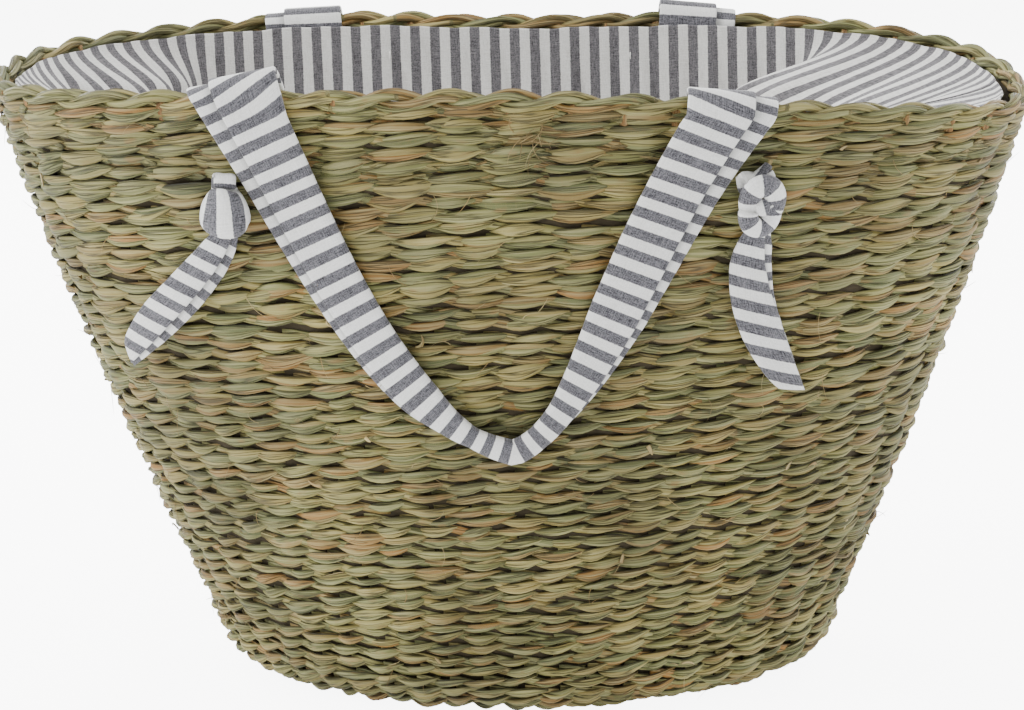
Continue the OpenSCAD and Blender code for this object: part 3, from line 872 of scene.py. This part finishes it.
def tail(keys, phase, grain, edge):
    """The two-layer end of a strap; the upper layer's stripes lie across the direction
    grain, and its edge is at places edge."""
    rows = along_curve(keys, 46)
    mid = rows[:, :2]
    d = np.gradient(mid, axis=0)
    d /= np.linalg.norm(d, axis=1, keepdims=True)
    across = np.stack([-d[:, 1], d[:, 0]], -1)
    u, high = -LAYERS[::-1, 0], LAYERS[::-1, 1]
    run = distances(mid)
    half = rows[:, 3][:, None]
    edges = np.interp(run / run[-1], [0, edge[0], 1], [STEP_AT, edge[1], edge[2]])
    u = np.stack([np.interp(u, [-1, STEP_AT, 1], [-1, e, 1]) for e in edges])
    cut = np.clip((run - run[-1] + 0.016) / 0.016, 0, 1)[:, None] ** 2 * u * 0.004
    x = mid[:, 0][:, None] + across[:, 0][:, None] * half * u + d[:, 0][:, None] * cut
    z = mid[:, 1][:, None] + across[:, 1][:, None] * half * u + d[:, 1][:, None] * cut
    cup = 0.0011 * (u ** 2) * smooth(run / 0.02)[:, None]
    crumple = 0.0005 * wave_noise(run * 130, int(phase * 9000) + 3)[:, None] + 0 * u
    off = rows[:, 2][:, None] - 0.0012 + high[None] * 0.0026 - cup + crumple
    upper = x * grain[0] + z * grain[1] + phase
    lower = run[:, None] + 0.012 + phase + 0 * x
    stripes = np.where(TOP_LAYER[::-1][None] > 0, upper, lower)
    vectors = np.stack(np.broadcast_arrays(stripes, u * half, STEP_PAINTED_SHADE[::-1][None]), -1)
    return np.stack([x, z, off], -1), tube_quads(1, len(rows), u.shape[1]), vectors


def lay_on_wall(part, side, x, z):
    points, quads, vectors = part
    placed = on_wall(side, x + points[..., 0], z + points[..., 1], points[..., 2])
    return placed, (quads[:, ::-1] if side > 0 else quads), vectors


def knot_and_tail(name, side, where, x):
    shape, keys, phase, grain, edge, pivot_x, down = ENDS[where]
    tag = "%s_%s" % (name, where)
    knot = join_parts([lay_on_wall(k, side, x, KNOT_Z) for k in shape()])
    fixed_piece("knot_cloth_" + tag, knot, strap_cloth, "strap_cloth", "knot_" + tag)
    points, quads, vectors = lay_on_wall(tail(keys, phase, grain, edge), side, x, KNOT_Z)
    loose_end = make_mesh("tail_cloth_" + tag, points, quads, strap_cloth, vectors)
    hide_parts("tail_" + tag)
    pivot = on_wall(side, x + pivot_x, KNOT_Z - PIVOT_DROP, 0.002)
    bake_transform(loose_end)


for name, (side, left, right) in HANDLES.items():
    knot_and_tail(name, side, "left", left[1])
    knot_and_tail(name, side, "right", right[1])

# ---------------------------------------------------------------- lining
LINING_DROP, LINING_T, LINING_INSET = 0.007, 0.0009, 0.0139
LINING_TOP = ARC + HEIGHT - LINING_DROP - BASE_ROUND


def lining_panel(centre):
    """Half of the lining, sewn to the other half at the basket's two ends. It sags
    inwards at the right end and puffs out of its folds at the left end."""
    s = np.linspace(centre - 0.25, centre + 0.25, 261)[:, None]
    down = np.concatenate([np.linspace(0, 0.0008, 2), np.linspace(0.003, 0.012, 5), [0.0126],
                           np.linspace(0.014, 0.080, 34), np.linspace(0.086, LINING_TOP, 44)])[None, :]
    scallop = 0.0005 * wave_noise(s * 60, 21)
    h = LINING_TOP - down - scallop * (1 - smooth(down / 0.12))
    off = -LINING_INSET + 0.0036 * (1 - smooth(h / ARC))
    points = wall(s, h, off)
    rim = wall(s, H_RIM, 0)
    x0, y0 = rim[..., 0], rim[..., 1]
    right = np.where(y0 > 0, smooth((x0 - 0.160) / 0.045), smooth((x0 - 0.150) / 0.07))
    sink = smooth(down / 0.030) * (1 - smooth((down - 0.06) / 0.17))
    toward = smooth((y0 + 0.02) / 0.07)
    pull = 0.080 * right * sink * (1 + 0.10 * wave_noise(s * 40, 5))
    points[..., 0] -= pull * (0.97 - 0.07 * toward)
    points[..., 1] -= pull * (0.44 * toward - 0.10 * (1 - toward))
    points[..., 2] += pull * 0.06 * wave_noise(s * 26 + down * 14, 6)
    left = smooth((-x0 - 0.165) / 0.06)
    fold = smooth(down / 0.025) * (1 - smooth((down - 0.05) / 0.16))
    puff = left * fold * (0.020 + 0.009 * wave_noise(s * 34 + down * 9, 8))
    points[..., 0] += puff
    points[..., 1] -= puff * 0.25 * np.sign(y0)
    crease = 0.0016 * wave_noise(s * 46 + down * 6, 12) * smooth(down / 0.05)
    crease = crease + 0.0007 * wave_noise(s * 150 + down * 31, 13) * smooth(down / 0.02)
    normal = wall(s, h, 1.0) - wall(s, h, 0.0)
    points -= normal * (crease * smooth((h - 0.004) / 0.03))[..., None]
    across = (s - centre) * (girth(h) - 2 * pi * LINING_INSET)
    vectors = np.stack(np.broadcast_arrays(across + 0.0025, down, 1.0), -1)
    return points, vectors


for where, centre in (("back", 0.25), ("front", 0.75)):
    panel = fixed_piece("lining_" + where, slab(*lining_panel(centre), LINING_T), cloth,
                        "lining_cloth", "lining_wall", "lining_hem")


def lining_floor():
    """The oval cloth that lies on the base."""
    r = np.linspace(0.02, 1, 24)[None, :]
    s = np.linspace(0, 1, 97)[:, None]
    edge = wall(s, 0.0, -0.0103)
    middle = np.array([BASE_SHIFT, 0, 0.0103])
    points = middle + (edge - middle) * r[..., None]
    points[..., 2] += 0.0006 * wave_noise(points[..., 0] * 60 + points[..., 1] * 20, 3) + 0.0004
    vectors = np.stack([points[..., 0], points[..., 1], 1 + 0 * points[..., 0]], -1)
    return points, vectors


floor_cloth = fixed_piece("lining_floor", slab(*lining_floor(), LINING_T), cloth,
                          "lining_cloth", "lining_base")

# hand stitches that hold the hem to the wall
TACK_ANGLES = [0, 26, 47, 79, 101, 133, 154, 180, 206, 227, 259, 281, 313, 334]
TACK_DROP, THREAD_R = 0.021, 0.00035


def tacks():
    parts = []
    for angle in TACK_ANGLES:
        p = ring(HEIGHT - TACK_DROP, LINING_INSET, radians(angle))
        direction = np.array([p[0] / RIM_A ** 2, p[1] / RIM_B ** 2, 0])
        direction /= np.linalg.norm(direction)
        a = np.linspace(0, 2 * pi, 18, endpoint=False)
        loop = p + direction * (0.0022 * np.cos(a) + 0.0012)[:, None]
        loop = loop + np.array([0, 0, 0.0026]) * np.sin(a)[:, None]
        parts.append(sweep(loop, np.cross(direction, (0, 0, 1)), THREAD_R, THREAD_R, power=1.0,
                           sides=6, closed=True))
    return join_parts(parts)


fixed_piece("tack_threads", tacks(), thread, "thread", "lining_tacks")


# ---------------------------------------------------------------- stage
CAMERA_RAY_GLOW, FLOOR_GLOW, WORLD_STRENGTH = 7.0, 0.45, 0.78


def stage():
    """A pale floor, brighter to the camera than to the basket, and a white sky."""
    bpy.ops.mesh.primitive_plane_add(size=12, location=(0, 0, 0))
    floor = bpy.context.object
    floor.name = "floor"
    g = Graph("floor")
    g.put(g.shader.inputs["Emission Color"], (1, 1, 1, 1))
    seen = g.add("ShaderNodeLightPath", "Is Camera Ray")
    glow = g.math("ADD", g.math("MULTIPLY", seen, CAMERA_RAY_GLOW), FLOOR_GLOW)
    g.put(g.shader.inputs["Emission Strength"], glow)
    floor.data.materials.append(g.finish((0.93, 0.93, 0.93, 1.0), 0.9))
    world = bpy.data.worlds.new("soft_white")
    bpy.context.scene.world = world
    world.use_nodes = True
    sky = world.node_tree.nodes["Background"]
    sky.inputs["Color"].default_value = (1, 1, 1, 1)
    sky.inputs["Strength"].default_value = WORLD_STRENGTH


def area_light(name, place, aim, size, power):
    data = bpy.data.lights.new(name, "AREA")
    data.shape = "DISK"
    data.size = size
    data.energy = power
    lamp = bpy.data.objects.new(name, data)
    lamp.location = place
    lamp.rotation_euler = (Vector(aim) - Vector(place)).to_track_quat("-Z", "Y").to_euler()
    bpy.context.scene.collection.objects.link(lamp)


stage()
area_light("key_left", (-1.7, -0.5, 1.1), (-0.1, 0, 0.15), 0.9, 31)
area_light("side_right", (1.7, 0.1, 0.9), (0.1, 0, 0.15), 0.9, 16)
area_light("back_left", (-1.1, 1.3, 1.0), (0, 0, 0.2), 0.9, 28)
area_light("back_right", (1.1, 1.3, 1.0), (0, 0, 0.2), 0.9, 24)
area_light("top", (-0.3, -0.2, 1.9), (0, 0, 0.2), 0.9, 12)

camera_data = bpy.data.cameras.new("camera")
camera_data.lens = 85.4
camera_data.sensor_width = 36
camera = bpy.data.objects.new("camera", camera_data)
camera.location = (0.0012, -1.1847, 0.493)
camera.rotation_euler = (pi / 2 - 0.2728, 0, 0.0014)
bpy.context.scene.collection.objects.link(camera)
camera.rotation_euler.rotate_axis("Z", -0.0126)
bpy.context.scene.camera = camera
